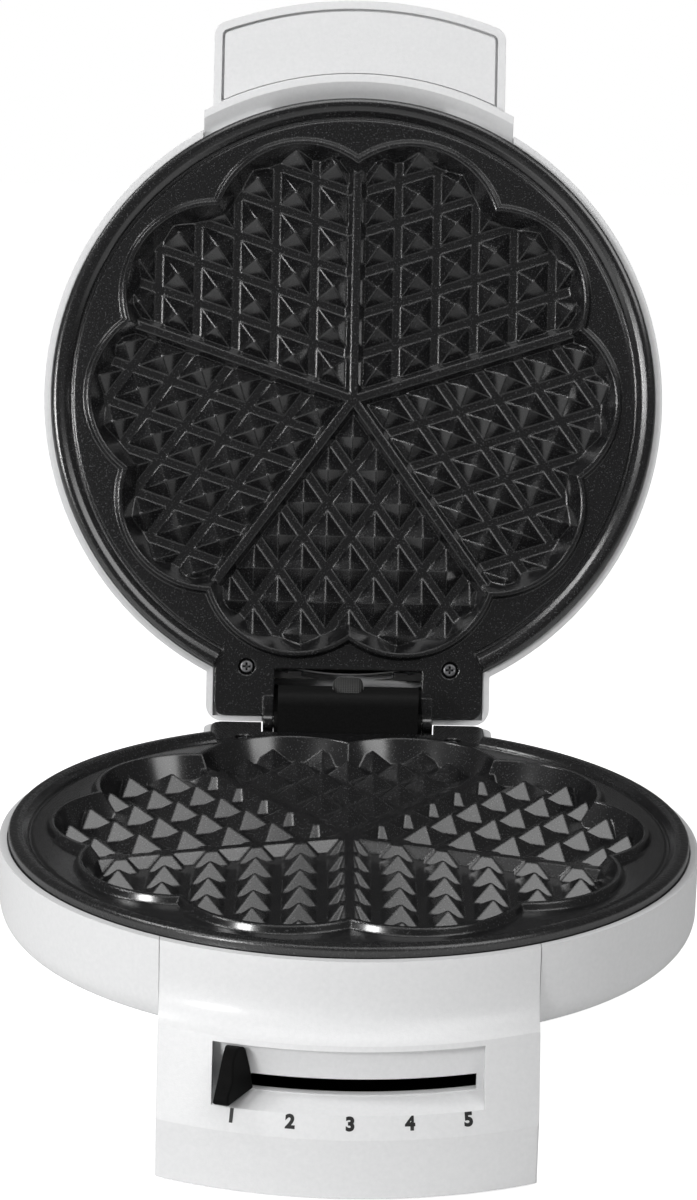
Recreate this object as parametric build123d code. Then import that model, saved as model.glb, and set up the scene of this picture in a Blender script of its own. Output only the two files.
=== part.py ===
from build123d import *
from math import asin, atan, cos, degrees, radians, sin, sqrt, tan
import os

os.makedirs("parts", exist_ok=True)

# Driving dimensions in millimetres. Heights with a name ending in _DROP are measured down from the
# parting plane, where the two plates meet when the lid is shut.
PLATE_RADIUS = 113.0
HOUSING_MARGIN = 3.0
WALL = 2.6
FOOT_GAP = 1.5
PARTING_HEIGHT = 74.0
PARTING_GAP = 0.4
RIM_DROP = 3.9
HINGE_OVERHANG = 8.8
HINGE_DROP = 3.6
LID_OPEN_ANGLE = 106.4

# Cast plates
CAVITY_DEPTH = 8.5
FLOOR_THICKNESS = 3.0
FLANGE_DROP = 6.0
BAND_HEIGHT = 3.6
MOAT_DROP = 2.4
GROOVE_DEPTH = 0.6
BEAD_WIDTH = 8.2
FIELD_MARGIN = 11.9
LOBE_COUNT = 10
RIDGE_OUTER_LOBE = 36.1
RIDGE_INNER_LOBE = 33.3
RIDGE_FLANK = 1.3
CAVITY_DRAFT = 28.0
RIB_DROP = 4.7
RIB_TOP_WIDTH = 3.0
RIB_BASE_WIDTH = 7.0
RIB_LANE_WIDTH = 6.4
LATTICE_PITCH = 14.6
LOWER_LATTICE_SHIFT = 0.09
UPPER_LATTICE_SHIFT = 0.57
PYRAMID_BASE = 11.5
PYRAMID_HEIGHT = 5.2
PYRAMID_TIP = 0.7
HEART_COUNT = 5
LUG_HALF_ANGLE = 26.5
SCREW_HEAD_RADIUS = 2.65
SCREW_HEAD_HEIGHT = 1.6
SCREW_HEAD_SUNK = 0.7
HEATER_RADIUS = 62.0
HEATER_TUBE = 3.3
HEATER_SEAT = 3.5

# Hinge
BLOCK_HALF_WIDTH = 25.8
BLOCK_TOP_RISE = 12.5
WASHER_THICKNESS = 1.5
SIDE_PLAY = 0.15
EAR_THICKNESS = 3.8
PIN_RADIUS = 2.0
PIN_PLAY = 0.06

# Base
PANEL_HALF_WIDTH = 57.7
PANEL_LEDGE_REACH = 8.0
PANEL_LEDGE_DROP = 27.5
PANEL_FOOT_REACH = 17.0
PANEL_EDGE_DROP = 53.7
DISH_DEPTH = 31.6
DISH_ROUNDING = 8.0

# Browning slider
SLOT_SETBACK = 2.5
SLOT_TOP_DROP = 39.1
SLOT_BOTTOM_DROP = 44.1
SLOT_HALF_LENGTH = 38.6
POCKET_HALF_LENGTH = 40.8
POCKET_TOP_DROP = 29.2
POCKET_BOTTOM_DROP = 44.5
POCKET_FLOOR_FALL = 0.26
SLIDER_HALF_TRAVEL = 33.9292
KNOB_NOSE_REACH = 4.2
THERMOSTAT_RADIUS = 13.0

# Lid and handle
COVER_HEIGHT = 31.0
COVER_ROUNDING = 11.0
HANDLE_HALF_WIDTH = 55.0
HANDLE_REACH = 35.0
HANDLE_BOTTOM_RISE = 7.5
HANDLE_TOP_RISE = 20.0
COLLAR_HALF_WIDTH = 58.2
COLLAR_REACH = 6.5

# Places that follow from the sizes above.
HOUSING_RADIUS = PLATE_RADIUS + HOUSING_MARGIN
HINGE_Y = PLATE_RADIUS + HINGE_OVERHANG
PLATE_BACK_DROP = CAVITY_DEPTH + FLOOR_THICKNESS
LOBE_CENTRE_RADIUS = PLATE_RADIUS - RIDGE_OUTER_LOBE - FIELD_MARGIN
HEART_ANGLE = 360.0 / HEART_COUNT
EAR_INNER_X = BLOCK_HALF_WIDTH + WASHER_THICKNESS + 2 * SIDE_PLAY
EAR_OUTER_X = EAR_INNER_X + EAR_THICKNESS
PLATE_SCREW_X = EAR_OUTER_X + 6.6
PLATE_SCREW_Y = PLATE_RADIUS - 12.0
LUG_HALF_WIDTH = PLATE_SCREW_X + 12.0
LUG_END_Y = HINGE_Y - 2.5
BLOCK_FRONT_Y = HINGE_Y - 13.3
BLOCK_BACK_Y = HINGE_Y - 3.8
TAB_HALF_WIDTH = LUG_HALF_WIDTH + 3.0
TAB_FRONT_Y = PLATE_RADIUS - 53.0
TAB_END_Y = HINGE_Y - 0.3
PANEL_LEDGE_RADIUS = HOUSING_RADIUS + PANEL_LEDGE_REACH
PANEL_FOOT_RADIUS = HOUSING_RADIUS + PANEL_FOOT_REACH
PANEL_BACK_Y = 24.0 - HOUSING_RADIUS
SPINE_HALF_WIDTH = PANEL_HALF_WIDTH - 1.7
SPINE_BACK_Y = HOUSING_RADIUS - 12.0
SLOT_RADIUS = PANEL_LEDGE_RADIUS - SLOT_SETBACK
SLIDER_HALF_SWEEP = degrees(SLIDER_HALF_TRAVEL / SLOT_RADIUS)
KNOB_NOSE_RADIUS = PANEL_FOOT_RADIUS + KNOB_NOSE_REACH
HANDLE_END_RADIUS = HOUSING_RADIUS + HANDLE_REACH
COLLAR_RADIUS = HOUSING_RADIUS + COLLAR_REACH
SHELF_RADIUS = PLATE_RADIUS - 7.4
BEYOND = 200.0
HINGE_Z = PARTING_HEIGHT - HINGE_DROP
UP = Axis.Z


def save(shape, name):
    export_step(shape, "parts/" + name + ".step")


def below(drop):
    """Height above the table of a level given as a drop under the parting plane."""
    return PARTING_HEIGHT - drop


def block(x0, x1, y0, y1, z0, z1):
    """Box between two opposite corners."""
    middle = ((x0 + x1) / 2, (y0 + y1) / 2, (z0 + z1) / 2)
    return Pos(*middle) * Box(abs(x1 - x0), abs(y1 - y0), abs(z1 - z0))


def rod(radius, x, y, z0, z1):
    """Upright cylinder."""
    return Pos(x, y, (z0 + z1) / 2) * Cylinder(radius, abs(z1 - z0))


def turned(points):
    """Solid of revolution about the vertical axis from (radius, height) points."""
    outline = Polyline(*[(r, 0, z) for r, z in points], close=True)
    return revolve(make_face(outline), UP)


def twice(shape):
    """A piece and its mirror image across the middle of the appliance."""
    return [shape, shape.mirror(Plane.YZ)]


def opened(shape):
    """A lid piece, modelled shut, swung back to the open pose of the photograph."""
    return shape.rotate(Axis((0, HINGE_Y, HINGE_Z), (1, 0, 0)), -LID_OPEN_ANGLE)


def to_lower(shape):
    """A plate-side piece, modelled face up with its face at zero, brought to the base."""
    return Pos(0, 0, PARTING_HEIGHT - PARTING_GAP / 2) * shape


def to_upper(shape):
    """The same for the lid: turned face down, then swung open."""
    flipped = shape.rotate(Axis.Y, 180)
    return opened(Pos(0, 0, PARTING_HEIGHT + PARTING_GAP / 2) * flipped)


# The ten-lobed flower shared by the ridge and the cavities: cones around a middle disc.
def flower(lobe_top, lobe_bottom, top, bottom):
    height = top - bottom
    lobe = Pos(LOBE_CENTRE_RADIUS, 0, (top + bottom) / 2) * Cone(lobe_bottom, lobe_top, height)
    middle = rod(LOBE_CENTRE_RADIUS, 0, 0, bottom, top)
    step = 360 / LOBE_COUNT
    return middle + [lobe.rotate(UP, step * (k + 0.5)) for k in range(LOBE_COUNT)]


def pyramid():
    """Rhombic pyramid whose sides run along the two ribs of the heart that points to +X."""
    half = HEART_ANGLE / 2
    reach = PYRAMID_BASE / 2 / sin(radians(HEART_ANGLE))
    along = (2 * reach * cos(radians(half)), 0)
    across = (0, 2 * reach * sin(radians(half)))
    outline = make_face(Polyline(along, across, (-along[0], 0), (0, -across[1]), close=True))
    slope = degrees(atan((PYRAMID_BASE - PYRAMID_TIP) / 2 / PYRAMID_HEIGHT))
    return Pos(0, 0, -CAVITY_DEPTH) * extrude(outline, PYRAMID_HEIGHT, taper=slope)


def heart_space(lattice_shift):
    """The batter space of the heart that points to +X: a sector of the flower less its pyramids."""
    rib_slope = (RIB_BASE_WIDTH - RIB_TOP_WIDTH) / 2 / (CAVITY_DEPTH - RIB_DROP)
    half_rib = RIB_TOP_WIDTH / 2 - RIB_DROP * rib_slope
    tip = half_rib / sin(radians(HEART_ANGLE / 2))
    far = PLATE_RADIUS + 17
    spread = far * tan(radians(HEART_ANGLE / 2))
    sector = make_face(Polyline((tip, 0), (tip + far, spread), (tip + far, -spread), close=True))
    wedge = extrude(sector, -CAVITY_DEPTH, taper=degrees(atan(rib_slope)))
    inset = CAVITY_DEPTH * tan(radians(CAVITY_DRAFT))
    space = flower(RIDGE_INNER_LOBE, RIDGE_INNER_LOBE - inset, 0, -CAVITY_DEPTH) & wedge
    step = LATTICE_PITCH / sin(radians(HEART_ANGLE))
    rows = int(PLATE_RADIUS / step) + 1
    peaks = []
    for i in range(rows):
        for j in range(rows):
            a = (i + lattice_shift) * step
            b = (j + lattice_shift) * step
            x = (a + b) * cos(radians(HEART_ANGLE / 2))
            y = (a - b) * sin(radians(HEART_ANGLE / 2))
            if sqrt(x * x + y * y) < PLATE_RADIUS - 4:
                peaks.append(Pos(x, y, 0) * pyramid())
    return space - peaks


def back_sector(half_angle, low, top):
    """Upright wedge about +Y from the middle of the plate, cut by two radial planes."""
    reach = 2 * PLATE_RADIUS
    side = (reach * tan(radians(half_angle)), reach)
    outline = make_face(Polyline((0, 0), side, (-side[0], side[1]), close=True))
    return Pos(0, 0, low) * extrude(outline, top - low)


def cast_plate(lattice_shift, notch_half_width, notch_y):
    """One cast plate, face up, its ridge at height zero and its hinge lugs towards +Y."""
    groove = -MOAT_DROP - GROOVE_DEPTH
    rim = [
        (0, -PLATE_BACK_DROP),
        (PLATE_RADIUS - 10.5, -PLATE_BACK_DROP),
        (PLATE_RADIUS - 9.0, -FLANGE_DROP),
        (PLATE_RADIUS - 0.4, -FLANGE_DROP),
        (PLATE_RADIUS, -BAND_HEIGHT),
        (PLATE_RADIUS, -1.3),
        (PLATE_RADIUS - 0.5, -0.5),
        (PLATE_RADIUS - 1.6, -0.1),
        (PLATE_RADIUS - 3.0, -0.1),
        (PLATE_RADIUS - 4.8, -0.7),
        (PLATE_RADIUS - 6.4, -2.0),
        (PLATE_RADIUS - 6.9, groove),
        (PLATE_RADIUS - 7.7, groove),
        (PLATE_RADIUS - BEAD_WIDTH, -MOAT_DROP),
        (0, -MOAT_DROP),
    ]
    plate = turned(rim)
    lug = block(
        -LUG_HALF_WIDTH, LUG_HALF_WIDTH, PLATE_RADIUS - 21, LUG_END_Y, -FLANGE_DROP, -MOAT_DROP
    )
    lug = fillet(lug.edges().filter_by(UP).group_by(Axis.Y)[-1], 4.0)
    lug -= rod(PLATE_RADIUS - 1, 0, 0, -FLANGE_DROP - 1, 1)
    bead = rod(PLATE_RADIUS + 1, 0, 0, -MOAT_DROP, 1)
    groove_fill = rod(PLATE_RADIUS - 2, 0, 0, -FLANGE_DROP, -MOAT_DROP)
    groove_fill -= rod(PLATE_RADIUS - BEAD_WIDTH - 1, 0, 0, -FLANGE_DROP - 1, 1)
    plate -= bead & back_sector(LUG_HALF_ANGLE, -MOAT_DROP, 2)
    plate += groove_fill & back_sector(LUG_HALF_ANGLE, -FLANGE_DROP - 1, 1)
    plate += lug
    ridge = flower(RIDGE_OUTER_LOBE - RIDGE_FLANK, RIDGE_OUTER_LOBE, 0, -MOAT_DROP - 0.5)
    plate += ridge.rotate(UP, HEART_ANGLE / 4)
    inset = RIB_DROP * tan(radians(CAVITY_DRAFT))
    above_ribs = flower(RIDGE_INNER_LOBE, RIDGE_INNER_LOBE - inset, 0, -RIB_DROP)
    lane = above_ribs.rotate(UP, HEART_ANGLE / 4) & block(
        -RIB_LANE_WIDTH / 2, RIB_LANE_WIDTH / 2, -PLATE_RADIUS, 0, -RIB_DROP, 0
    )
    space = heart_space(lattice_shift)
    for k in range(HEART_COUNT):
        plate -= space.rotate(UP, HEART_ANGLE * (k + 0.5) - 90)
        plate -= lane.rotate(UP, HEART_ANGLE * k)
    plate -= block(-notch_half_width, notch_half_width, notch_y, HINGE_Y + 5, -20, 5)
    seat = -MOAT_DROP - SCREW_HEAD_SUNK - SCREW_HEAD_HEIGHT
    for x in (-PLATE_SCREW_X, PLATE_SCREW_X):
        plate -= rod(SCREW_HEAD_RADIUS + 0.5, x, PLATE_SCREW_Y, seat - 0.1, 1)
        plate -= rod(1.8, x, PLATE_SCREW_Y, -20, 1)
    seat_z = -PLATE_BACK_DROP - HEATER_SEAT
    ring = rod(HEATER_RADIUS + 6, 0, 0, seat_z, -PLATE_BACK_DROP)
    ring -= rod(HEATER_RADIUS - 6, 0, 0, seat_z - 0.5, -PLATE_BACK_DROP + 1)
    plate += ring
    plate -= Pos(0, 0, seat_z) * Torus(HEATER_RADIUS, HEATER_TUBE + 0.1)
    return plate


def heater():
    """Tubular heater, face up as the plate: an open ring whose two cold ends turn away from the plate."""
    level = -PLATE_BACK_DROP - HEATER_SEAT
    gap = 16.0
    turn = 8.0
    arc = CenterArc((0, 0, level), HEATER_RADIUS, 90 + gap, 360 - 2 * gap)
    lead_in = arc @ 0 - arc % 0 * turn - Vector(0, 0, turn)
    lead_out = arc @ 1 + arc % 1 * turn - Vector(0, 0, turn)
    first = Spline(lead_in, arc @ 0, tangents=((0, 0, 1), arc % 0))
    last = Spline(arc @ 1, lead_out, tangents=(arc % 1, (0, 0, -1)))
    path = Wire([first, arc, last])
    tube = sweep(Plane(path @ 0, z_dir=path % 0) * Circle(HEATER_TUBE), path)
    tabs = [
        Pos(end.X, end.Y, end.Z - 2.2) * (Box(5.0, 0.8, 4.6) + Pos(0, 0, 1.4) * Cylinder(2.2, 2.0))
        for end in (lead_in, lead_out)
    ]
    return tube + tabs


def reflector():
    """Thin pressed dish behind a plate that throws its heat back, with a turned-up rim."""
    rim = PLATE_RADIUS - 10
    top = -PLATE_BACK_DROP - 3
    deep = top - 8.1
    inner = [(0, deep), (rim - 4, deep), (rim, top)]
    outer = [(rim + 0.6, top), (rim - 3.5, deep - 0.8), (0, deep - 0.8)]
    dish = turned(inner + outer)
    for x in (-9.4, 9.4):
        dish -= rod(6.0, x, HEATER_RADIUS - 0.2, deep - 2, deep + 2)
    dish -= rod(THERMOSTAT_RADIUS + 1.5, 0, 0, deep - 2, deep + 2)
    for x in (-PLATE_SCREW_X, PLATE_SCREW_X):
        dish -= rod(6.0, x, PLATE_SCREW_Y, deep - 2, top + 2)
    return dish


def plate_screws():
    """The two cross-head screws in the plate's lugs, heads seated in their counterbores."""
    top = -MOAT_DROP - SCREW_HEAD_SUNK
    head = rod(SCREW_HEAD_RADIUS, 0, 0, top - SCREW_HEAD_HEIGHT, top)
    head = fillet(head.edges().group_by(Axis.Z)[-1], 0.8)
    head -= Pos(0, 0, top - 0.2) * (Box(3.0, 0.8, 1.2) + Box(0.8, 3.0, 1.2))
    screw = head + rod(1.5, 0, 0, -PLATE_BACK_DROP - 5.5, top - SCREW_HEAD_HEIGHT)
    return Compound([Pos(x, PLATE_SCREW_Y, 0) * screw for x in (-PLATE_SCREW_X, PLATE_SCREW_X)])


# Cast plates. The lid plate has two ears that drop to the hinge pin, added in the shut pose.
lower_plate = cast_plate(LOWER_LATTICE_SHIFT, EAR_OUTER_X + 0.5, BLOCK_FRONT_Y - 1.0)
save(to_lower(lower_plate), "lower_plate")
upper_plate = Pos(0, 0, PARTING_HEIGHT + PARTING_GAP / 2) * (
    cast_plate(UPPER_LATTICE_SHIFT, EAR_INNER_X, BLOCK_FRONT_Y - 6.9).rotate(Axis.Y, 180)
)
ear_rounds = [
    Pos(HINGE_Y, HINGE_Z) * Circle(4.5),
    Pos(HINGE_Y - 8.8, PARTING_HEIGHT + 4.0) * Circle(1.8),
    Pos(HINGE_Y - 4.4, PARTING_HEIGHT + 4.0) * Circle(1.8),
]
ear_outline = Plane.YZ * make_hull([edge for circle in ear_rounds for edge in circle.edges()])
ear = Pos(EAR_INNER_X, 0, 0) * extrude(ear_outline, EAR_OUTER_X - EAR_INNER_X)
upper_plate += twice(ear)
pin_line = Pos(0, HINGE_Y, HINGE_Z) * Rot(0, 90, 0)
upper_plate -= pin_line * Cylinder(PIN_RADIUS + PIN_PLAY, 3 * EAR_OUTER_X)
save(opened(upper_plate), "upper_plate")

for place, side in ((to_lower, "lower"), (to_upper, "upper")):
    save(place(heater()), side + "_heater")
    save(place(reflector()), side + "_reflector")
    save(place(plate_screws()), side + "_plate_screws")

# White base: a dish under the lower plate on a hollow spine, open at the front for the panel.
dish_top = below(RIM_DROP)
dish_bottom = below(DISH_DEPTH)
spine_bottom = FOOT_GAP + 2.6
dish = rod(HOUSING_RADIUS, 0, 0, dish_bottom, dish_top)
dish = fillet(dish.edges().group_by(Axis.Z)[0], DISH_ROUNDING)
tab = block(-TAB_HALF_WIDTH, TAB_HALF_WIDTH, TAB_FRONT_Y, TAB_END_Y, below(21.0), dish_top)
tab = fillet(tab.edges().filter_by(UP).group_by(Axis.Y)[-1], 6.0)
tab = fillet(tab.edges().group_by(Axis.Z)[0].group_by(Axis.Y)[-1], 3.0)
spine = block(
    -SPINE_HALF_WIDTH, SPINE_HALF_WIDTH, PANEL_BACK_Y + 0.2, SPINE_BACK_Y, FOOT_GAP, dish_bottom + 6
)
spine = fillet(spine.edges().filter_by(UP).group_by(Axis.Y)[-1], 8.0)
base = dish + tab + spine
room = rod(HOUSING_RADIUS - WALL, 0, 0, dish_bottom + WALL, dish_top + 1)
room = fillet(room.edges().group_by(Axis.Z)[0], DISH_ROUNDING - WALL)
tab_room = block(
    -TAB_HALF_WIDTH + WALL,
    TAB_HALF_WIDTH - WALL,
    TAB_FRONT_Y,
    TAB_END_Y - 2,
    below(18.6),
    dish_top + 1,
)
spine_room = block(
    -SPINE_HALF_WIDTH + WALL,
    SPINE_HALF_WIDTH - WALL,
    2 - HOUSING_RADIUS,
    SPINE_BACK_Y - WALL,
    -1,
    dish_bottom + WALL + 1,
)
base -= room
base -= tab_room
base -= spine_room
shelf_low = below(FLANGE_DROP + 3.2)
shelf_top = below(FLANGE_DROP + 0.4)
shelf = rod(HOUSING_RADIUS - 1, 0, 0, shelf_low, shelf_top)
base += shelf - rod(SHELF_RADIUS, 0, 0, shelf_low - 1, shelf_top + 1)
shelf_half = TAB_HALF_WIDTH - 2.4
base += block(-shelf_half, shelf_half, SHELF_RADIUS - 1.1, TAB_END_Y - 1, shelf_low, shelf_top)
for x in (-PLATE_SCREW_X, PLATE_SCREW_X):
    base += rod(5.0, x, PLATE_SCREW_Y, dish_bottom + 1, below(PLATE_BACK_DROP + 0.5))
    base -= rod(1.55, x, PLATE_SCREW_Y, below(PLATE_BACK_DROP + 8.5), below(5))
boss_x = SPINE_HALF_WIDTH - 6.5
boss_places = [(x, y) for x in (-boss_x, boss_x) for y in (PANEL_BACK_Y + 14, SPINE_BACK_Y - 42)]
for x, y in boss_places:
    base += rod(4.5, x, y, spine_bottom, dish_bottom + 1)
    base -= rod(1.55, x, y, 0, spine_bottom + 12)
bay_half = EAR_OUTER_X + 0.5
base -= block(-bay_half, bay_half, BLOCK_FRONT_Y - 4.2, HINGE_Y + 3.2, below(12.5), dish_top + 1)
block_hole = BLOCK_HALF_WIDTH + 0.1
hole_floor = dish_bottom + 3.6
base -= block(-block_hole, block_hole, BLOCK_FRONT_Y - 0.2, BLOCK_BACK_Y + 0.1, hole_floor, dish_top)
seat_half = PANEL_HALF_WIDTH + SIDE_PLAY
panel_seat = block(-seat_half, seat_half, -HOUSING_RADIUS - 14, 56 - HOUSING_RADIUS, 0, dish_top + 1)
base -= panel_seat - rod(HOUSING_RADIUS - WALL - 0.1, 0, 0, -1, dish_top + 2)
gland_z = dish_bottom - 20.4
base -= (Pos(0, SPINE_BACK_Y, gland_z) * Rot(90, 0, 0)) * Cylinder(6.0, 20)
save(base, "base_dish")

# Front panel: a curved apron that flares to a ledge, slopes out to a second edge and drops to the foot.
flare = [
    (HOUSING_RADIUS, RIM_DROP),
    (HOUSING_RADIUS + 0.5, 14.0),
    (HOUSING_RADIUS + 2.4, 22.0),
    (PANEL_LEDGE_RADIUS - 2.8, PANEL_LEDGE_DROP - 2.0),
    (PANEL_LEDGE_RADIUS, PANEL_LEDGE_DROP),
]


def panel_solid(inset, low):
    """The panel's volume inside its front surface, taken in by the wall where an inset is given."""
    upper = [(r - inset, 0, below(d)) for r, d in flare]
    foot = PANEL_FOOT_RADIUS - inset
    back = HOUSING_RADIUS - 26
    lower = [upper[-1], (foot, 0, below(PANEL_EDGE_DROP)), (foot, 0, low), (back, 0, low)]
    outline = [Spline(*upper), Polyline(*lower, (back, 0, upper[0][2]), upper[0])]
    body = revolve(make_face(outline), UP)
    half = PANEL_HALF_WIDTH - inset
    return body & block(-half, half, -PANEL_FOOT_RADIUS - 7, PANEL_BACK_Y, low - 1, PARTING_HEIGHT)


panel = panel_solid(0, FOOT_GAP)
panel = fillet(panel.edges().filter_by(UP).group_by(Axis.Y)[0], 1.2)
pocket_mouth = PANEL_FOOT_RADIUS + 7
floor_fall = (pocket_mouth - SLOT_RADIUS) * POCKET_FLOOR_FALL


def panel_band(half, r0, r1, low, mouth_low, top):
    """Part of a ring ahead of the panel's back: from radius r0 to r1, its floor falling to the mouth."""
    ring = turned([(r0, below(low)), (r1, below(mouth_low)), (r1, below(top)), (r0, below(top))])
    return ring & block(-half, half, -pocket_mouth - 10, PANEL_BACK_Y + 2, 0, PARTING_HEIGHT)


floor_drop = POCKET_BOTTOM_DROP
mouth_drop = POCKET_BOTTOM_DROP + floor_fall
pocket = panel_band(
    POCKET_HALF_LENGTH, SLOT_RADIUS, pocket_mouth, floor_drop, mouth_drop, POCKET_TOP_DROP
)
pocket_back = panel & panel_band(
    POCKET_HALF_LENGTH + WALL,
    SLOT_RADIUS - WALL,
    pocket_mouth,
    floor_drop + WALL,
    mouth_drop + WALL,
    POCKET_TOP_DROP - WALL,
)
hollow = panel_solid(WALL, 0)
hollow += rod(HOUSING_RADIUS - WALL, 0, 0, dish_bottom - 0.2, dish_top + 1)
panel = panel - hollow + pocket_back
slot = panel_band(
    SLOT_HALF_LENGTH,
    SLOT_RADIUS - 6,
    SLOT_RADIUS + 1,
    SLOT_BOTTOM_DROP,
    SLOT_BOTTOM_DROP,
    SLOT_TOP_DROP,
)
panel -= pocket
panel -= slot
panel_screw_x = PANEL_HALF_WIDTH - 9.7
panel_screw_places = [(side * panel_screw_x, 8 - HOUSING_RADIUS) for side in (-1, 1)]
post_top = dish_bottom - 12.4
for side, (x, y) in zip((-1, 1), panel_screw_places):
    web = block(x, side * (PANEL_HALF_WIDTH - 1.54), y - 1.5, y + 1.5, spine_bottom, post_top)
    panel += rod(4.5, x, y, spine_bottom, post_top) + web
    panel -= rod(1.55, x, y, 0, post_top - 12)
save(panel, "front_panel")

# Bottom cover, its screws and the rubber feet.
plate_half = SPINE_HALF_WIDTH - 3
plate_front = 6 - PANEL_FOOT_RADIUS
plate_top = spine_bottom - 0.1
cover_plate = block(-plate_half, plate_half, plate_front, SPINE_BACK_Y - 3, FOOT_GAP, plate_top)
cover_plate &= rod(PANEL_FOOT_RADIUS - 4, 0, 0, FOOT_GAP, plate_top)
foot_x = SPINE_HALF_WIDTH - 20
foot_places = [(x, y) for x in (-foot_x, foot_x) for y in (4 - HOUSING_RADIUS, SPINE_BACK_Y - 20)]
for x, y in foot_places:
    cover_plate -= rod(7.5, x, y, 0, FOOT_GAP + 1.0)
for x, y in boss_places + panel_screw_places:
    cover_plate -= rod(1.7, x, y, 0, 9)
    cover_plate -= rod(3.2, x, y, 0, FOOT_GAP + 1.4)
for k in range(9):
    cover_plate -= block(-18, 18, -40 + k * 8, -37.5 + k * 8, 0, 9)
save(cover_plate, "bottom_cover")
foot = rod(7.0, 0, 0, 0, FOOT_GAP + 0.95)
save(Compound([Pos(x, y, 0) * foot for x, y in foot_places]), "rubber_feet")
cover_screw = rod(2.9, 0, 0, FOOT_GAP - 0.6, FOOT_GAP + 1.3) + rod(1.5, 0, 0, FOOT_GAP + 1.3, 13.0)
cover_screw -= Pos(0, 0, FOOT_GAP - 0.6) * (Box(3.0, 0.8, 2.0) + Box(0.8, 3.0, 2.0))
save(Compound([Pos(x, y, 0) * cover_screw for x, y in boss_places]), "bottom_cover_screws")
save(Compound([Pos(x, y, 0) * cover_screw for x, y in panel_screw_places]), "front_panel_screws")

# Cord gland in the back of the spine. The cord itself isn't in the photograph.
gland_line = Pos(0, SPINE_BACK_Y, gland_z) * Rot(90, 0, 0)
gland = gland_line * Cylinder(5.9, 14)
gland += gland_line * Pos(0, 0, -2.1) * Cylinder(8.0, 4)
gland += gland_line * Pos(0, 0, WALL + 1.6) * Cylinder(7.6, 3)
gland -= gland_line * Cylinder(3.3, 60)
save(gland, "cord_gland")

# Black hinge block: fixed in the dish, rounded on top so that the lid plate's edge swings past it.
block_top = PARTING_HEIGHT + BLOCK_TOP_RISE
block_low = dish_bottom + 3.8
corner = 5.0
bend = corner * (1 - cos(radians(45)))
block_side = [
    (BLOCK_FRONT_Y, block_low),
    (BLOCK_FRONT_Y, block_top - corner),
    (BLOCK_FRONT_Y + bend, block_top - bend),
    (BLOCK_FRONT_Y + corner, block_top),
    (BLOCK_BACK_Y - 1, block_top),
    (BLOCK_BACK_Y, block_top - 1),
    (BLOCK_BACK_Y, block_low),
]
face_edges = [
    Line((0, *block_side[0]), (0, *block_side[1])),
    ThreePointArc(*[(0, *p) for p in block_side[1:4]]),
    Polyline(*[(0, *p) for p in block_side[3:]], (0, *block_side[0])),
]
hinge_block = extrude(make_face(face_edges), BLOCK_HALF_WIDTH, both=True)
hinge_block += pin_line * Cylinder(5.6, 2 * BLOCK_HALF_WIDTH)
hinge_block -= pin_line * Cylinder(PIN_RADIUS + 0.02, 3 * EAR_OUTER_X)
lead_y = BLOCK_FRONT_Y + 5.1
lead_width = 11.0
lead_thickness = 5.0
lead_hole = extrude(Pos(0, lead_y, 0) * SlotOverall(lead_width + 0.4, lead_thickness + 0.4), BEYOND)
hinge_block -= lead_hole
hinge_block -= block(-5.8, 5.8, lead_y, BLOCK_BACK_Y + 1, PARTING_HEIGHT + 4.6, block_top + 1)
save(hinge_block, "hinge_block")
save(pin_line * Cylinder(PIN_RADIUS, 2 * EAR_OUTER_X - 0.4), "hinge_pin")
washer = pin_line * (Cylinder(4.2, WASHER_THICKNESS) - Cylinder(PIN_RADIUS + PIN_PLAY, 4))
washer_x = (BLOCK_HALF_WIDTH + EAR_INNER_X) / 2
save(Compound([Pos(x, 0, 0) * washer for x in (-washer_x, washer_x)]), "hinge_washers")

# Flat sleeve round the leads that run from the block's slot over its back edge into the lid.
lead_path = Spline(
    (0, lead_y, below(4)),
    (0, lead_y + 0.1, PARTING_HEIGHT + 3.5),
    (0, HINGE_Y - 2.4, PARTING_HEIGHT + 12.4),
    (0, HINGE_Y + 9.2, PARTING_HEIGHT + 9.4),
    (0, HINGE_Y + 20.8, PARTING_HEIGHT + 4.9),
    tangents=((0, 0, 1), (0, 0.9, -0.3)),
)
lead_start = Plane(lead_path @ 0, x_dir=(1, 0, 0), z_dir=lead_path % 0)
lead_sleeve = sweep(lead_start * SlotOverall(lead_width, lead_thickness), lead_path)
save(lead_sleeve, "lead_sleeve")

# Thermostat on a bracket under the lower plate, with a sensing stem up to the plate's back.
bracket_level = dish_bottom + WALL + 0.1
body_top = bracket_level + 3.4
body_bottom = bracket_level - 6.1
thermostat = rod(THERMOSTAT_RADIUS, 0, 0, body_bottom, body_top)
thermostat += rod(THERMOSTAT_RADIUS + 2.5, 0, 0, bracket_level + 1.05, bracket_level + 2.2)
thermostat += rod(4.0, 0, 0, body_top - 1, below(PLATE_BACK_DROP + PARTING_GAP / 2 + 0.1))
thermostat += block(-20, 20, -2.5, 2.5, body_bottom + 2.0, body_bottom + 2.8)
spindle_radius = 3.0
thermostat -= rod(spindle_radius + 0.05, 0, 0, body_bottom - 1, body_bottom + 5)
save(thermostat, "thermostat")
bracket_half = SPINE_HALF_WIDTH + 4
bracket = block(-bracket_half, bracket_half, -18, 18, bracket_level + 0.05, bracket_level + 1.0)
bracket = fillet(bracket.edges().filter_by(UP), 4.0)
bracket -= rod(THERMOSTAT_RADIUS + 0.1, 0, 0, 0, PARTING_HEIGHT)
save(bracket, "thermostat_bracket")


def at_one(shape):
    """A piece of the slider, modelled at the middle mark, turned to the mark 1 of the photograph."""
    return shape.rotate(UP, -SLIDER_HALF_SWEEP)


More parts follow.
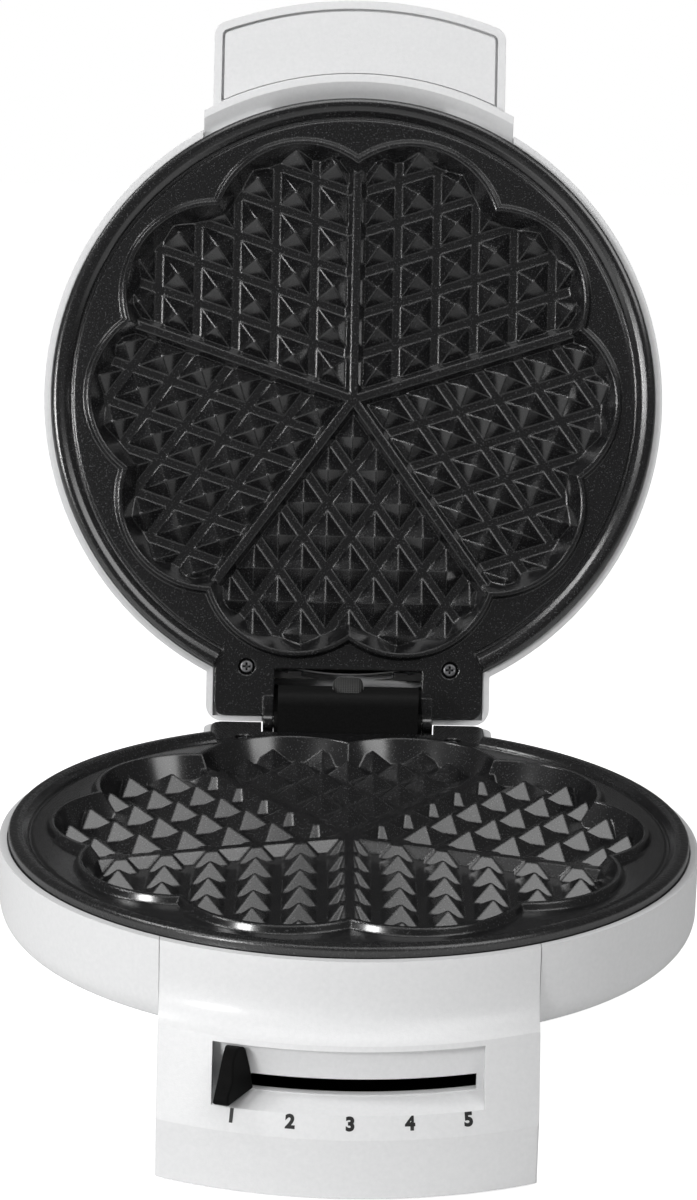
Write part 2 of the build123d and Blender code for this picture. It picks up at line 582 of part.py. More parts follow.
lever_level = below((SLOT_TOP_DROP + SLOT_BOTTOM_DROP) / 2)
lever_end = SLOT_RADIUS + 6.5
lever = rod(9.0, 0, 0, lever_level - 1.5, lever_level + 1.5)
lever += block(-4.5, 4.5, 9.5 - SLOT_RADIUS, -4, lever_level - 1.0, lever_level + 1.0)
lever += block(-2.5, 2.5, -lever_end, 21.5 - SLOT_RADIUS, lever_level - 1.0, lever_level + 1.0)
lever += rod(spindle_radius, 0, 0, lever_level, body_bottom + 4)
save(at_one(lever), "thermostat_lever")

knob_low = below(POCKET_BOTTOM_DROP - 0.6)
knob_root = SLOT_RADIUS + 0.6
knob_top = below(POCKET_TOP_DROP + 0.3)
nose = KNOB_NOSE_RADIUS
knob_side = [
    Line((0, -knob_root, knob_low), (0, -nose + 1.0, knob_low)),
    ThreePointArc(
        (0, -nose + 1.0, knob_low), (0, -nose + 0.3, knob_low + 0.3), (0, -nose, knob_low + 1.0)
    ),
    Spline(
        (0, -nose, knob_low + 1.0),
        (0, -nose + 3.6, knob_low + 5.6),
        (0, -nose + 6.4, knob_low + 11.6),
        (0, -nose + 10.4, knob_top),
        (0, -knob_root - 1.0, knob_top - 0.9),
        tangents=((0, 0, 1), (0, 1, -0.6)),
    ),
    Polyline(
        (0, -knob_root - 1.0, knob_top - 0.9),
        (0, -knob_root, knob_top - 1.8),
        (0, -knob_root, knob_low),
    ),
]
knob = extrude(make_face(knob_side), 7, both=True)
plan_back = 1.1 - knob_root
plan_front = -nose - 1.3
plan_points = [(-5.6, plan_back), (-2.3, plan_front), (2.3, plan_front), (5.6, plan_back)]
knob &= Pos(0, 0, knob_low - 0.1) * extrude(
    make_face(Polyline(*plan_points, close=True)), 18, taper=9
)
long_curves = knob.edges().filter_by(lambda e: e.length > 12 and e.center().Y < -knob_root - 2.9)
knob = fillet(long_curves.filter_by(lambda e: abs(e.center().X) > 1 and e.geom_type != GeomType.LINE), 0.7)
knob -= block(-2.6, 2.6, -lever_end - 0.1, 1.5 - SLOT_RADIUS, lever_level - 1.05, lever_level + 1.05)
save(at_one(knob), "slider_knob")

# Terminal block on the bottom cover and thermal fuse against the back of the lower plate.
terminal_y = SPINE_BACK_Y - 31
terminal_top = spine_bottom + 14.9
terminals = block(12, 42, terminal_y - 7, terminal_y + 7, spine_bottom, terminal_top)
for x in (19, 27, 35):
    terminals -= rod(2.3, x, terminal_y, terminal_top - 5, terminal_top + 1)
    terminals -= (Pos(x, terminal_y, terminal_top - 9) * Rot(90, 0, 0)) * Cylinder(2.0, 30)
save(terminals, "terminal_block")
fuse_height = below(PLATE_BACK_DROP + PARTING_GAP / 2 + 3.3)
fuse_line = Pos(34, -24, fuse_height) * Rot(0, 90, 35)
fuse = fuse_line * Cylinder(3.0, 16) + fuse_line * Cylinder(0.6, 34)
save(fuse, "thermal_fuse")

# Lid cover, modelled shut and saved open: a crowned white shell with a hinge tab at the back.
cover_low = PARTING_HEIGHT + RIM_DROP
cover_top = PARTING_HEIGHT + COVER_HEIGHT


def crowned(radius, low, top, rounding):
    """Solid of revolution with a gently crowned top and a rounded rim."""
    shoulder = radius - rounding
    crown = 3.0
    side = rounding * sin(radians(45))
    ball = (shoulder * shoulder + crown * crown) / (2 * crown)
    half_angle = asin(shoulder / ball) / 2
    on_crown = (ball * sin(half_angle), 0, top + crown - ball + ball * cos(half_angle))
    edges = [
        Polyline((0, 0, top + crown), (0, 0, low), (radius, 0, low), (radius, 0, top - rounding)),
        ThreePointArc(
            (radius, 0, top - rounding),
            (shoulder + side, 0, top - rounding + side),
            (shoulder, 0, top),
        ),
        ThreePointArc((shoulder, 0, top), on_crown, (0, 0, top + crown)),
    ]
    return revolve(make_face(edges), UP)


cover = crowned(HOUSING_RADIUS, cover_low, cover_top, COVER_ROUNDING)
tab = block(-TAB_HALF_WIDTH, TAB_HALF_WIDTH, TAB_FRONT_Y, TAB_END_Y, cover_low, cover_top - 4)
tab = fillet(tab.edges().filter_by(UP).group_by(Axis.Y)[-1], 6.0)
tab = fillet(tab.edges().group_by(Axis.Z)[-1].group_by(Axis.Y)[-1], 4.0)
cover += tab
cover -= crowned(HOUSING_RADIUS - WALL, cover_low - 1, cover_top - WALL, COVER_ROUNDING - WALL)
cover -= block(
    -TAB_HALF_WIDTH + WALL,
    TAB_HALF_WIDTH - WALL,
    TAB_FRONT_Y,
    TAB_END_Y - 2,
    cover_low - 1,
    cover_top - 6.6,
)
lid_shelf_low = PARTING_HEIGHT + FLANGE_DROP + 0.5
lid_shelf_top = PARTING_HEIGHT + FLANGE_DROP + 3.2
shelf = rod(HOUSING_RADIUS - 1, 0, 0, lid_shelf_low, lid_shelf_top)
shelf += block(-shelf_half, shelf_half, PLATE_RADIUS - 23, TAB_END_Y - 1, lid_shelf_low, lid_shelf_top)
shelf -= rod(SHELF_RADIUS, 0, 0, 0, BEYOND)
cover += shelf
for x in (-PLATE_SCREW_X, PLATE_SCREW_X):
    cover += rod(5.0, x, PLATE_SCREW_Y, PARTING_HEIGHT + PLATE_BACK_DROP + 0.6, cover_top - 1)
    cover -= rod(1.55, x, PLATE_SCREW_Y, PARTING_HEIGHT + 5, PARTING_HEIGHT + PLATE_BACK_DROP + 8.5)
room_y = BLOCK_FRONT_Y - 3.3
room_end = HINGE_Y + 4.2
hinge_room = block(-bay_half, bay_half, room_y, room_end, PARTING_HEIGHT - 4, PARTING_HEIGHT + 13.2)
hinge_room -= block(-bay_half, bay_half, TAB_END_Y - 2.1, room_end, lid_shelf_low, BEYOND)
cover -= hinge_room
post_x = BLOCK_HALF_WIDTH - 5.8
for x in (-post_x, post_x):
    cover += block(x - 2.5, x + 2.5, room_y - 2.8, room_y, PARTING_HEIGHT + 6.6, cover_top - 1)
seat_half = COLLAR_HALF_WIDTH + SIDE_PLAY
seat_front = -HOUSING_RADIUS - 14
seat_back = 26 - HOUSING_RADIUS
collar_seat = block(
    -seat_half, seat_half, seat_front, seat_back, PARTING_HEIGHT - 4, cover_top - 6.9
)
pad = rod(HOUSING_RADIUS - WALL - 0.1, 0, 0, PARTING_HEIGHT + 8, cover_top - 6)
pad -= rod(HOUSING_RADIUS - 2 * WALL, 0, 0, PARTING_HEIGHT, BEYOND)
cover -= collar_seat - rod(HOUSING_RADIUS - WALL - 0.1, 0, 0, 0, BEYOND)
pad_half = COLLAR_HALF_WIDTH + 3.8
cover += pad & block(-pad_half, pad_half, seat_front, seat_back + 10, 0, BEYOND)
lamp_places = [(-11.0, 32 - HOUSING_RADIUS), (11.0, 32 - HOUSING_RADIUS)]
for x, y in lamp_places:
    cover -= rod(3.6, x, y, cover_top - 5, cover_top + 6)
handle_screw_angles = (-18.0, 18.0)
handle_screw_height = PARTING_HEIGHT + 16.0


def radial(angle, shape):
    """A piece modelled along Z, laid level and pointed out through the front at an angle."""
    return (Pos(0, 0, handle_screw_height) * Rot(0, 0, angle) * Rot(90, 0, 0)) * shape


for angle in handle_screw_angles:
    cover -= radial(angle, Pos(0, 0, HOUSING_RADIUS - 4) * Cylinder(1.7, 12))
save(opened(cover), "lid_cover")

# Handle: a collar let into the cover's wall and a flat grip, with a separate panel let in underneath.
collar = turned(
    [
        (HOUSING_RADIUS - WALL, PARTING_HEIGHT + 9.5),
        (COLLAR_RADIUS - 2.6, PARTING_HEIGHT + 5.0),
        (COLLAR_RADIUS, PARTING_HEIGHT + 5.0),
        (COLLAR_RADIUS, cover_top - 7),
        (HOUSING_RADIUS - WALL, cover_top - 7),
    ]
) & block(-COLLAR_HALF_WIDTH, COLLAR_HALF_WIDTH, -HANDLE_END_RADIUS, 0, 0, BEYOND)
grip_low = PARTING_HEIGHT + HANDLE_BOTTOM_RISE
grip_top = PARTING_HEIGHT + HANDLE_TOP_RISE


def grip(inset, low, top, back):
    """The grip's outline taken in by an inset, between two heights, ahead of a back radius."""
    half = HANDLE_HALF_WIDTH - inset
    shape = rod(HANDLE_END_RADIUS - inset, 0, 0, low, top)
    shape &= block(-half, half, -HANDLE_END_RADIUS - 1, seat_back, low, top)
    shape = fillet(shape.edges().filter_by(UP).group_by(Axis.Y)[0], 5.6 - inset)
    return shape - rod(back, 0, 0, low - 1, top + 1)


body = grip(0, grip_low, grip_top, COLLAR_RADIUS - 2)
rim_edges = body.edges().group_by(Axis.Z)[-1].filter_by(lambda e: e.center().Y < -HOUSING_RADIUS - 2)
body = fillet(rim_edges, 3.0)
handle = collar + body
handle -= grip(3.0, grip_low - 1, grip_low + 2.6, COLLAR_RADIUS + 0.8)
for angle in handle_screw_angles:
    handle -= radial(angle, Pos(0, 0, HOUSING_RADIUS) * Cylinder(1.55, 14))
save(opened(handle), "lid_handle")
save(opened(grip(3.9, grip_low + 0.6, grip_low + 2.55, COLLAR_RADIUS + 1.2)), "handle_insert")
handle_screw = Pos(0, 0, HOUSING_RADIUS) * Cylinder(1.5, 11)
handle_screw += Pos(0, 0, HOUSING_RADIUS - 6.6) * Cylinder(2.9, 2.2)
handle_screws = Compound([radial(angle, handle_screw) for angle in handle_screw_angles])
save(opened(handle_screws), "handle_screws")

# Two lamp lenses in the top of the lid cover.
for (x, y), name in zip(lamp_places, ("power_lamp", "ready_lamp")):
    lens = rod(3.5, x, y, cover_top - 3, cover_top + 2.6) + rod(4.6, x, y, cover_top - 5.5, cover_top - 3)
    save(opened(lens), name)
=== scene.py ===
from math import atan2, cos, radians, sin, tan

import bmesh
import bpy
from mathutils import Matrix, Vector


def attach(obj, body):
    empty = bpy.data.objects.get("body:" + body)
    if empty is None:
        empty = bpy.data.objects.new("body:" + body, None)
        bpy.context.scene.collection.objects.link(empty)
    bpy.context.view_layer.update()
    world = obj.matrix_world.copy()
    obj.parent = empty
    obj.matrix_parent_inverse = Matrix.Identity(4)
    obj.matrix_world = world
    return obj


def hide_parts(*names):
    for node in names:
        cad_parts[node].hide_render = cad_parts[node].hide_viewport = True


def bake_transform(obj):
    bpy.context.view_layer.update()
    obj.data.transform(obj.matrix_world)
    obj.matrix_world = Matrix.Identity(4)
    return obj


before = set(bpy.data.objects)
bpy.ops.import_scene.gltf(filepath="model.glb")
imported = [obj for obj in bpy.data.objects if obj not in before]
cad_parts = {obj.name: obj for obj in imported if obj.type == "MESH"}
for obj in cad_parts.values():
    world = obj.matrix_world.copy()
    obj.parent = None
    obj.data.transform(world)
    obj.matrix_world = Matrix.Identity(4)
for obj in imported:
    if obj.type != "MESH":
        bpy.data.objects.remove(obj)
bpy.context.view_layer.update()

scene = bpy.context.scene
scene.view_settings.view_transform = "Standard"

# The camera stands a good metre in front of the appliance and looks slightly down on it, and the
# photograph leans by a degree. The image is 697 by 1200 pixels, seen through a long lens.
SENSOR = 36.0
IMAGE_HEIGHT = 1200
FOCAL_PIXELS = 3093
CAMERA_PLACE = (-0.0125, -0.9770, 0.4108)
CAMERA_TURN = -0.62
CAMERA_DOWN = 14.91
CAMERA_LEAN = 1.307
camera = bpy.data.cameras.new("camera")
camera.sensor_fit = "AUTO"
camera.sensor_width = SENSOR
camera.lens = FOCAL_PIXELS * SENSOR / IMAGE_HEIGHT
camera.clip_end = 20
camera_object = bpy.data.objects.new("camera", camera)
scene.collection.objects.link(camera_object)
camera_object.matrix_world = (
    Matrix.Translation(CAMERA_PLACE)
    @ Matrix.Rotation(radians(CAMERA_TURN), 4, "Z")
    @ Matrix.Rotation(radians(90 - CAMERA_DOWN), 4, "X")
    @ Matrix.Rotation(radians(CAMERA_LEAN), 4, "Z")
)
scene.camera = camera_object

# White housings: injection-moulded plastic with a pearl pigment, whose fine flakes glitter where a
# highlight falls. The base's two shells and the lid's three are one plastic, with edges rounded by
# the mould. The classes are the shader maths and the finish that every section uses from here on.
PEARL = (0.83, 0.83, 0.835)
PEARL_SHADE = (0.74, 0.745, 0.75)
CLOUD_SCALE = 700.0
FLAKE_SCALE = 2400.0
MOULDED_EDGE = 0.0004


def feed(slot, value):
    """Gives a shader input a number or a colour, or links it to another node's output."""
    if isinstance(value, Socket):
        slot.id_data.links.new(value.output, slot)
    else:
        slot.default_value = value


class Socket:
    """One shader output, with the arithmetic that the finishes use."""

    def __init__(self, output):
        self.output = output

    def math(self, operation, *values):
        node = self.output.id_data.nodes.new("ShaderNodeMath")
        node.operation = operation
        for slot, value in zip(node.inputs, values):
            feed(slot, value)
        return Socket(node.outputs[0])

    def __add__(self, other):
        return self.math("ADD", self, other)

    def __sub__(self, other):
        return self.math("SUBTRACT", self, other)

    def __mul__(self, other):
        return self.math("MULTIPLY", self, other)

    def __pow__(self, other):
        return self.math("POWER", self, other)

    def __gt__(self, other):
        return self.math("GREATER_THAN", self, other)

    def __lt__(self, other):
        return self.math("LESS_THAN", self, other)

    def sine(self):
        return self.math("SINE", self)

    __radd__ = __add__
    __rmul__ = __mul__


class Finish:
    """A material under construction: its shader, and methods that add the other nodes."""

    def __init__(self, name, color, roughness, metallic=0.0):
        self.material = bpy.data.materials.new(name)
        self.material.use_nodes = True
        self.tree = self.material.node_tree
        self.shader = self.tree.nodes["Principled BSDF"]
        self.put("Base Color", (*color, 1.0))
        self.put("Roughness", roughness)
        self.put("Metallic", metallic)

    def put(self, name, value):
        feed(self.shader.inputs[name], value)

    def node(self, kind, settings=(), output=0, **values):
        made = self.tree.nodes.new("ShaderNode" + kind)
        for name, value in dict(settings).items():
            setattr(made, name, value)
        for name, value in values.items():
            feed(made.inputs[name], value)
        return Socket(made.outputs[output])

    def place(self):
        """Object coordinates, in metres."""
        return self.node("TexCoord", output=3)

    def parts(self, vector):
        """The x, y and z of a vector."""
        return [self.node("SeparateXYZ", output=i, Vector=vector) for i in range(3)]

    def noise(self, scale, detail=2.0, roughness=0.5, place=None):
        where = place or self.place()
        return self.node("TexNoise", Vector=where, Scale=scale, Detail=detail, Roughness=roughness)

    def blend(self, fac, first, second):
        """Colour that goes from the first to the second as the factor goes from 0 to 1."""
        mix = self.tree.nodes.new("ShaderNodeMix")
        mix.data_type = "RGBA"
        feed(mix.inputs[0], fac)
        feed(mix.inputs[6], first if isinstance(first, Socket) else (*first, 1.0))
        feed(mix.inputs[7], second if isinstance(second, Socket) else (*second, 1.0))
        return Socket(mix.outputs[2])

    def relief(self, height, strength, edge=0.0, depth=0.0002):
        """Bump from a height, over edges that catch the light as if rounded by a small radius."""
        bump = {"Height": height, "Strength": strength, "Distance": depth}
        if edge:
            bump["Normal"] = self.node("Bevel", {"samples": 6}, Radius=edge)
        self.put("Normal", self.node("Bump", **bump))


def paint(finish, *nodes):
    for name in nodes:
        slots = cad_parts[name].data.materials
        slots.clear()
        slots.append(finish.material)


def white_plastic(name):
    """The pearl-white finish, and its colour, which the lid cover darkens in part with painted shade.
    """
    finish = Finish(name, PEARL, 0.42)
    cloud = finish.noise(CLOUD_SCALE, 3.0)
    flake = finish.noise(FLAKE_SCALE, 3.0, 0.6)
    pale = finish.blend(cloud, PEARL_SHADE, PEARL)
    finish.put("Base Color", pale)
    finish.put("Roughness", 0.34 + 0.2 * flake)
    finish.put("Coat Weight", 0.25)
    finish.put("Coat Roughness", 0.18)
    finish.relief(flake, 0.28, edge=MOULDED_EDGE)
    return finish, pale


white, _ = white_plastic("white_housing")
paint(white, "base_dish", "front_panel", "lid_handle", "handle_insert")

# Lid cover: the same plastic, crowned and moulded in one with its hinge tab. Its pocket behind the
# hinge block is painted near-black, as painted shade for the shadow inside the lid. The pocket's
# limits are known in the shut pose, so its mask turns back by the angle at which the lid stands open.
HINGE = (0, 0.1218, 0.0704)
OPEN_ANGLE = radians(106.4)
POCKET_HALF_WIDTH = 0.0324
POCKET_BACK = 0.1196
POCKET_TOP = 0.1000
POCKET_PAINTED_SHADE = (0.012, 0.012, 0.012)
cover_white, pale = white_plastic("lid_cover_white")
turned_back = {"Vector": cover_white.place(), "Center": HINGE, "Angle": OPEN_ANGLE}
shut = cover_white.node("VectorRotate", {"rotation_type": "X_AXIS"}, **turned_back)
side, back, rise = cover_white.parts(shut)
painted_shade_pocket = (side * side < POCKET_HALF_WIDTH ** 2) * (back < POCKET_BACK) * (rise < POCKET_TOP)
# Painted shade: the pocket's colour goes near-black where the lid's inside lies in shadow.
cover_white.put("Base Color", cover_white.blend(painted_shade_pocket, pale, POCKET_PAINTED_SHADE))
paint(cover_white, "lid_cover")


# Cast plates: aluminium castings under a dark non-stick coating, speckled with fine mineral grains.
# The rim of the lower plate was turned before it was coated and still shows the tool's slanting marks.
COATING_BLACK = (0.007, 0.007, 0.0074)
SPECK_GREY = (0.05, 0.05, 0.052)
GRAIN_SCALE = 3200.0
SPECK_SCALE = 1900.0
SPECK_THRESHOLD = 0.66
GRAIN_STRENGTH = 0.025
CASTING_EDGE = 0.001
RIM_RADIUS = 0.1085
MARKS_ROUND = 230.0
MARKS_SLANT = 1500.0
MARKS_UP = 40.0
MARKS_OUTWARD = 60.0
MARKS_DEPTH = 10.0


def coating(name):
    """The non-stick finish, with its grain and its roughness, to which turning marks can be added."""
    finish = Finish(name, COATING_BLACK, 0.36)
    grain = finish.noise(GRAIN_SCALE, 4.0, 0.7)
    speck = finish.noise(SPECK_SCALE, 1.0) > SPECK_THRESHOLD
    finish.put("Base Color", finish.blend(speck, COATING_BLACK, SPECK_GREY))
    finish.put("Specular IOR Level", 1.0)
    satin = 0.15 + 0.1 * grain
    finish.put("Roughness", satin)
    return finish, grain, satin


upper_coating, grain, _ = coating("coated_casting")
upper_coating.relief(grain, GRAIN_STRENGTH, edge=CASTING_EDGE)
paint(upper_coating, "upper_plate")

lower_coating, grain, satin = coating("coated_casting_turned")
x, y, z = lower_coating.parts(lower_coating.place())
turn = x.math("ARCTAN2", y, x)
radius = (x * x + y * y) ** 0.5
slanting = turn * MARKS_ROUND + z * MARKS_SLANT
across_marks = lower_coating.node("CombineXYZ", X=slanting, Y=z * MARKS_UP, Z=radius * MARKS_OUTWARD)
marks = (radius > RIM_RADIUS) * lower_coating.noise(1.0, 3.0, 0.7, place=across_marks)
lower_coating.put("Roughness", satin + 0.12 * marks)
lower_coating.relief(grain + MARKS_DEPTH * marks, GRAIN_STRENGTH, edge=CASTING_EDGE)
paint(lower_coating, "lower_plate")

# Black mouldings: heat-proof glass-filled plastic for the block and washers of the hinge, the gland
# round the lead and the bottom cover, which four screws hold.
MOULDING_BLACK = (0.004, 0.004, 0.004)
FIBRE_GREY = (0.014, 0.014, 0.014)
FIBRE_SCALE = 1800.0
black = Finish("black_moulding", MOULDING_BLACK, 0.5)
fibre = black.noise(FIBRE_SCALE, 3.0)
black.put("Base Color", black.blend(fibre, MOULDING_BLACK, FIBRE_GREY))
black.put("Roughness", 0.38 + 0.18 * fibre)
black.put("Specular IOR Level", 0.08)
black.relief(fibre, 0.25, edge=MOULDED_EDGE)
paint(black, "hinge_block", "hinge_washers", "bottom_cover", "cord_gland")

# Slider knob: a fin of matt black plastic with a fine spark-eroded grain, pushed onto the end of the
# thermostat's lever where it comes out of the slot.
KNOB_BLACK = (0.002, 0.002, 0.002)
KNOB_GREY = (0.008, 0.008, 0.008)
KNOB_GRAIN_SCALE = 3000.0
knob = Finish("knob_plastic", KNOB_BLACK, 0.55)
knob_grain = knob.noise(KNOB_GRAIN_SCALE, 2.0)
knob.put("Base Color", knob.blend(knob_grain, KNOB_BLACK, KNOB_GREY))
knob.put("Specular IOR Level", 0.04)
knob.relief(knob_grain, 0.3, edge=0.0003)
paint(knob, "slider_knob")

# Rubber feet: four studs of soft black rubber with a dusty bloom, pressed into the bottom cover so
# that the appliance doesn't slide when the lid is opened.
RUBBER_BLACK = (0.02, 0.02, 0.02)
BLOOM_GREY = (0.06, 0.06, 0.058)
BLOOM_SCALE = 400.0
rubber = Finish("foot_rubber", RUBBER_BLACK, 0.8)
bloom = rubber.noise(BLOOM_SCALE, 4.0)
rubber.put("Base Color", rubber.blend(bloom, RUBBER_BLACK, BLOOM_GREY))
rubber.relief(bloom, 0.2, depth=0.0003)
paint(rubber, "rubber_feet")

# Plate screws: blackened steel with a cross recess, whose corners are darkened by painted shade from
# an occlusion mask. They go through the plates' hinge lugs into the housings.
RECESS_PAINTED_SHADE = (0.005, 0.005, 0.005)
HEAD_GREY = (0.30, 0.30, 0.31)
PAINTED_SHADE_REACH = 0.0012
plate_screw = Finish("plate_screw", HEAD_GREY, 0.35, 1.0)
# Painted shade: the head's colour goes to black where the occlusion node finds the recess closed in.
painted_shade_openness = plate_screw.node("AmbientOcclusion", {"samples": 8}, output=1, Distance=PAINTED_SHADE_REACH)
head_with_painted_shade = plate_screw.blend(painted_shade_openness ** 3.0, RECESS_PAINTED_SHADE, HEAD_GREY)
plate_screw.put("Base Color", head_with_painted_shade)
plate_screw.put("Roughness", 0.25 + 0.25 * plate_screw.noise(2200.0, 3.0))
plate_screw.relief(plate_screw.noise(1500.0, 3.0), 0.3, edge=0.0003)
paint(plate_screw, "lower_plate_screws", "upper_plate_screws")


# Metal parts: zinc-plated case screws, a ground pin and lever, pressed
# aluminium reflectors and bracket, and heater tubes browned by their first heat.
def metal(name, dark, light, roughness, scale, nodes):
    finish = Finish(name, light, roughness, 1.0)
    wear = finish.noise(scale, 4.0, 0.6)
    finish.put("Base Color", finish.blend(wear, dark, light))
    finish.put("Roughness", roughness - 0.08 + 0.2 * wear)
    finish.relief(wear, 0.12, edge=0.0002, depth=0.0001)
    paint(finish, *nodes)


metal(
    "case_screw",
    dark=(0.50, 0.50, 0.48),
    light=(0.74, 0.74, 0.72),
    roughness=0.28,
    scale=700.0,
    nodes=["bottom_cover_screws", "front_panel_screws", "handle_screws"],
)
metal(
    "ground_steel",
    dark=(0.40, 0.40, 0.40),
    light=(0.58, 0.58, 0.57),
    roughness=0.24,
    scale=500.0,
    nodes=["hinge_pin", "thermostat_lever"],
)
metal(
    "pressed_sheet",
    dark=(0.62, 0.62, 0.62),
    light=(0.78, 0.78, 0.78),
    roughness=0.3,
    scale=300.0,
    nodes=["lower_reflector", "upper_reflector", "thermostat_bracket"],
)
metal(
    "heater_tube",
    dark=(0.16, 0.11, 0.08),
    light=(0.34, 0.31, 0.28),
    roughness=0.42,
    scale=250.0,
    nodes=["lower_heater", "upper_heater"],
)


# Electrical parts inside the base: a steatite thermostat, a ceramic-coated fuse and a pale nylon
# terminal block. None of them shows from outside.
def earthen(name, dark, light, *nodes):
    finish = Finish(name, light, 0.6)
    mottle = finish.noise(600.0, 4.0, 0.6)
    finish.put("Base Color", finish.blend(mottle, dark, light))
    finish.relief(mottle, 0.2, edge=0.0003)
    paint(finish, *nodes)


earthen("thermostat_ceramic", (0.66, 0.62, 0.54), (0.82, 0.78, 0.70), "thermostat", "thermal_fuse")
earthen("terminal_plastic", (0.62, 0.60, 0.52), (0.74, 0.72, 0.65), "terminal_block")


# Lamp lenses: clear tinted caps, moulded with a frosted inside and pushed through the lid cover near
# the grip. The red one shows power and the green one that the plates are hot.
def lens(name, dark, light, node):
    finish = Finish(name, light, 0.12)
    frost = finish.noise(500.0, 2.0)
    finish.put("Base Color", finish.blend(frost, dark, light))
    finish.put("Transmission Weight", 0.55)
    finish.relief(frost, 0.08, edge=0.0004)
    paint(finish, node)


lens("lamp_red", (0.55, 0.02, 0.02), (0.85, 0.06, 0.04), "power_lamp")
lens("lamp_green", (0.03, 0.42, 0.08), (0.08, 0.66, 0.16), "ready_lamp")

# Lead sleeve: a flat braided glass-fibre sleeve round the leads, from the hinge block's slot into the
# lid. It is fixed at both ends and is drawn in one shape, bent over the block.
SLEEVE_WIDTH = 0.011
SLEEVE_THICKNESS = 0.005
SLEEVE_SIDES = 28
SLEEVE_STRANDS = 40.0
SLEEVE_CROSSINGS = 160.0
ACROSS = Vector((1, 0, 0))
route = [
    (0, 0.1136, 0.0700),
    (0, 0.1137, 0.0775),
    (0, 0.1194, 0.0864),
    (0, 0.1310, 0.0834),
    (0, 0.1426, 0.0789),
]
line = bpy.data.curves.new("sleeve_line", "CURVE")
line.dimensions = "3D"
spline = line.splines.new("NURBS")
spline.points.add(len(route) - 1)
for point, place in zip(spline.points, route):
    point.co = (*place, 1.0)
spline.order_u = 3
spline.use_endpoint_u = True
spline.resolution_u = 16
line_object = bpy.data.objects.new("sleeve_line", line)
path = [v.co.copy() for v in bpy.data.meshes.new_from_object(line_object).vertices]
bpy.data.objects.remove(line_object)

shape = bmesh.new()
uv = shape.loops.layers.uv.new("weave")
ring = bmesh.ops.create_circle(shape, segments=SLEEVE_SIDES, radius=SLEEVE_THICKNESS / 2)["verts"]
for vertex in ring:
    side = 1 if vertex.co.x > 0 else -1
    vertex.co.x += side * (SLEEVE_WIDTH - SLEEVE_THICKNESS) / 2
profile = [vertex.co.copy() for vertex in ring]
edges = list(shape.edges)
rings = [ring]
for _ in path[1:]:
    extruded = bmesh.ops.extrude_edge_only(shape, edges=edges)["geom"]
    edges = [item for item in extruded if isinstance(item, bmesh.types.BMEdge)]
    rings.append([item for item in extruded if isinstance(item, bmesh.types.BMVert)])
for index, ring in enumerate(rings):
    ahead = path[min(index + 1, len(path) - 1)] - path[max(index - 1, 0)]
    out = ACROSS.cross(ahead).normalized()
    for vertex in ring:
        corner = min(profile, key=lambda place: (place - vertex.co).length)
        vertex.co = path[index] + ACROSS * corner.x + out * corner.y
bmesh.ops.recalc_face_normals(shape, faces=shape.faces)
for face in shape.faces:
    face.smooth = True
    for loop in face.loops:
        co = loop.vert.co
        along = min(range(len(path)), key=lambda i: (path[i] - Vector((0, co.y, co.z))).length)
        loop[uv].uv = (co.x / SLEEVE_WIDTH, along / len(path))
mesh = bpy.data.meshes.new("braided_sleeve")
shape.to_mesh(mesh)
shape.free()
sleeve = bpy.data.objects.new("braided_sleeve", mesh)
scene.collection.objects.link(sleeve)
fibre_glass = Finish("sleeve_fabric", (0.6, 0.6, 0.6), 0.75)
weave = fibre_glass.node("TexCoord", output=2)
u, v, _ = fibre_glass.parts(weave)
one_way = u * SLEEVE_STRANDS + v * SLEEVE_CROSSINGS
other_way = u * SLEEVE_STRANDS - v * SLEEVE_CROSSINGS
strands = one_way.sine() * other_way.sine()
braid = fibre_glass.blend(0.5 + 0.5 * strands, (0.015, 0.015, 0.015), (0.06, 0.06, 0.058))
fibre_glass.put("Base Color", braid)
fibre_glass.relief(strands, 0.5, depth=0.0003)
mesh.materials.append(fibre_glass.material)
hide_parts("lead_sleeve")
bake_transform(sleeve)

# Printed marks: the figures 1 to 5 in black ink under the slider's pocket, wrapped on the panel's
# sloping face and set at equal angles round the appliance's axis.
LEDGE_RADIUS = 0.124
LEDGE_HEIGHT = 0.0465
PANEL_FLARE = 0.009
PANEL_FALL = 0.0262
SLOPE = atan2(PANEL_FLARE, PANEL_FALL)
FIGURE_HEIGHT = 0.0232
FIGURE_SIZE = 0.0056
FIGURE_STEP = 7.8
FIGURE_SHIFT = 0.3
STROKE_SWELL = 0.00028
MIDDLE_FIGURE = 3
INK_THICKNESS = 0.00006
ink = Finish("printed_ink", (0.012, 0.012, 0.012), 0.5)
ink_grain = ink.noise(2500.0)
ink.put("Base Color", ink.blend(ink_grain, (0.008, 0.008, 0.008), (0.02, 0.02, 0.02)))
ink.put("Roughness", 0.4 + 0.2 * ink_grain)


def figure(number):
    text = bpy.data.curves.new("figure", "FONT")
    text.body = str(number)
    text.size = FIGURE_SIZE
    text.align_x = "CENTER"
    text.offset = STROKE_SWELL
    text.resolution_u = 6
    text_object = bpy.data.objects.new("figure", text)
    flat = bpy.data.meshes.new_from_object(text_object)
    bpy.data.objects.remove(text_object)
    middle = radians((number - MIDDLE_FIGURE) * FIGURE_STEP + FIGURE_SHIFT)
    for vertex in flat.vertices:
        height = FIGURE_HEIGHT + vertex.co.y * cos(SLOPE)
        out = LEDGE_RADIUS + (LEDGE_HEIGHT - height) * tan(SLOPE) + INK_THICKNESS
        angle = middle + vertex.co.x / out
        vertex.co = (out * sin(angle), -out * cos(angle), height)
    flat.name = "figure_" + str(number)
    flat.materials.append(ink.material)
    printed = bpy.data.objects.new("figure_" + str(number), flat)
    scene.collection.objects.link(printed)
    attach(printed, "base")


for number in (1, 2, 3, 4, 5):
    figure(number)

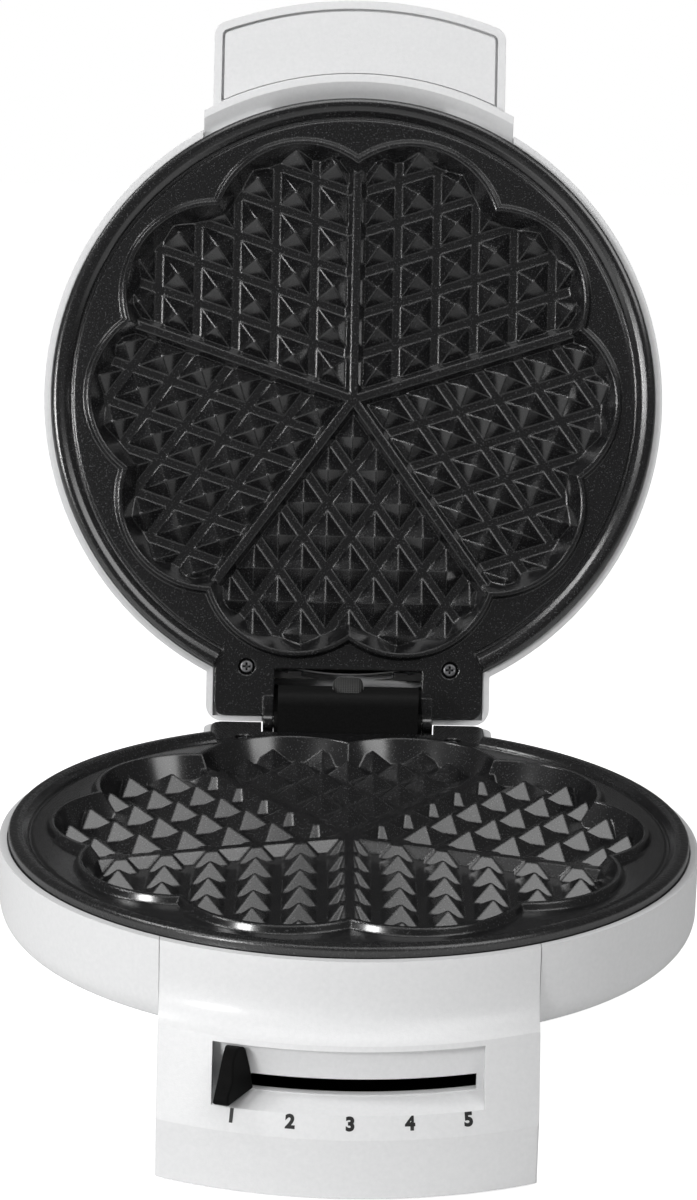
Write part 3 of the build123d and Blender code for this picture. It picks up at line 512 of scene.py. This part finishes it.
# Floor and light: a white floor that looks overlit to the camera, under four soft boxes. The key light
# on the left draws the pyramids' left edges, and the ridge light over it draws their ridges.
FLOOR_HALF_SIDE = 2.2
FLOOR_GLOW = 0.85
AMBIENT = 0.10
mesh = bpy.data.meshes.new("floor")
shape = bmesh.new()
bmesh.ops.create_grid(shape, x_segments=1, y_segments=1, size=FLOOR_HALF_SIDE)
shape.to_mesh(mesh)
shape.free()
floor = bpy.data.objects.new("floor", mesh)
scene.collection.objects.link(floor)
floor_finish = Finish("floor_white", (0.9, 0.9, 0.9), 0.9)
paper = floor_finish.noise(300.0, 3.0)
floor_finish.put("Base Color", floor_finish.blend(paper, (0.88, 0.88, 0.88), (0.92, 0.92, 0.92)))
floor_finish.put("Emission Color", floor_finish.node("LightPath"))
floor_finish.put("Emission Strength", FLOOR_GLOW)
mesh.materials.append(floor_finish.material)

world = bpy.data.worlds.new("world")
scene.world = world
world.use_nodes = True
background = world.node_tree.nodes["Background"]
background.inputs["Color"].default_value = (1, 1, 1, 1)
seen = Socket(world.node_tree.nodes.new("ShaderNodeLightPath").outputs["Is Camera Ray"])
feed(background.inputs["Strength"], AMBIENT + (1 - AMBIENT) * seen)


def soft_box(name, place, target, size, power):
    light = bpy.data.lights.new(name, "AREA")
    light.shape = "RECTANGLE"
    light.size = size[0]
    light.size_y = size[1]
    light.energy = power
    lamp = bpy.data.objects.new(name, light)
    scene.collection.objects.link(lamp)
    aim = Vector(target) - Vector(place)
    lamp.matrix_world = Matrix.Translation(place) @ aim.to_track_quat("-Z", "Y").to_matrix().to_4x4()


soft_box("key_light", place=(-0.95, -1.1, 0.62), target=(0, 0, 0.14), size=(0.3, 0.3), power=10)
soft_box("ridge_light", place=(-1.1, -0.15, 1.35), target=(0, 0, 0.14), size=(0.3, 0.45), power=7)
soft_box("fill_light", place=(1.1, -1.1, 1.5), target=(0, 0, 0.1), size=(1.0, 0.8), power=9)
soft_box("top_light", place=(0.0, -0.55, 1.9), target=(0, 0, 0.1), size=(1.4, 0.7), power=9)
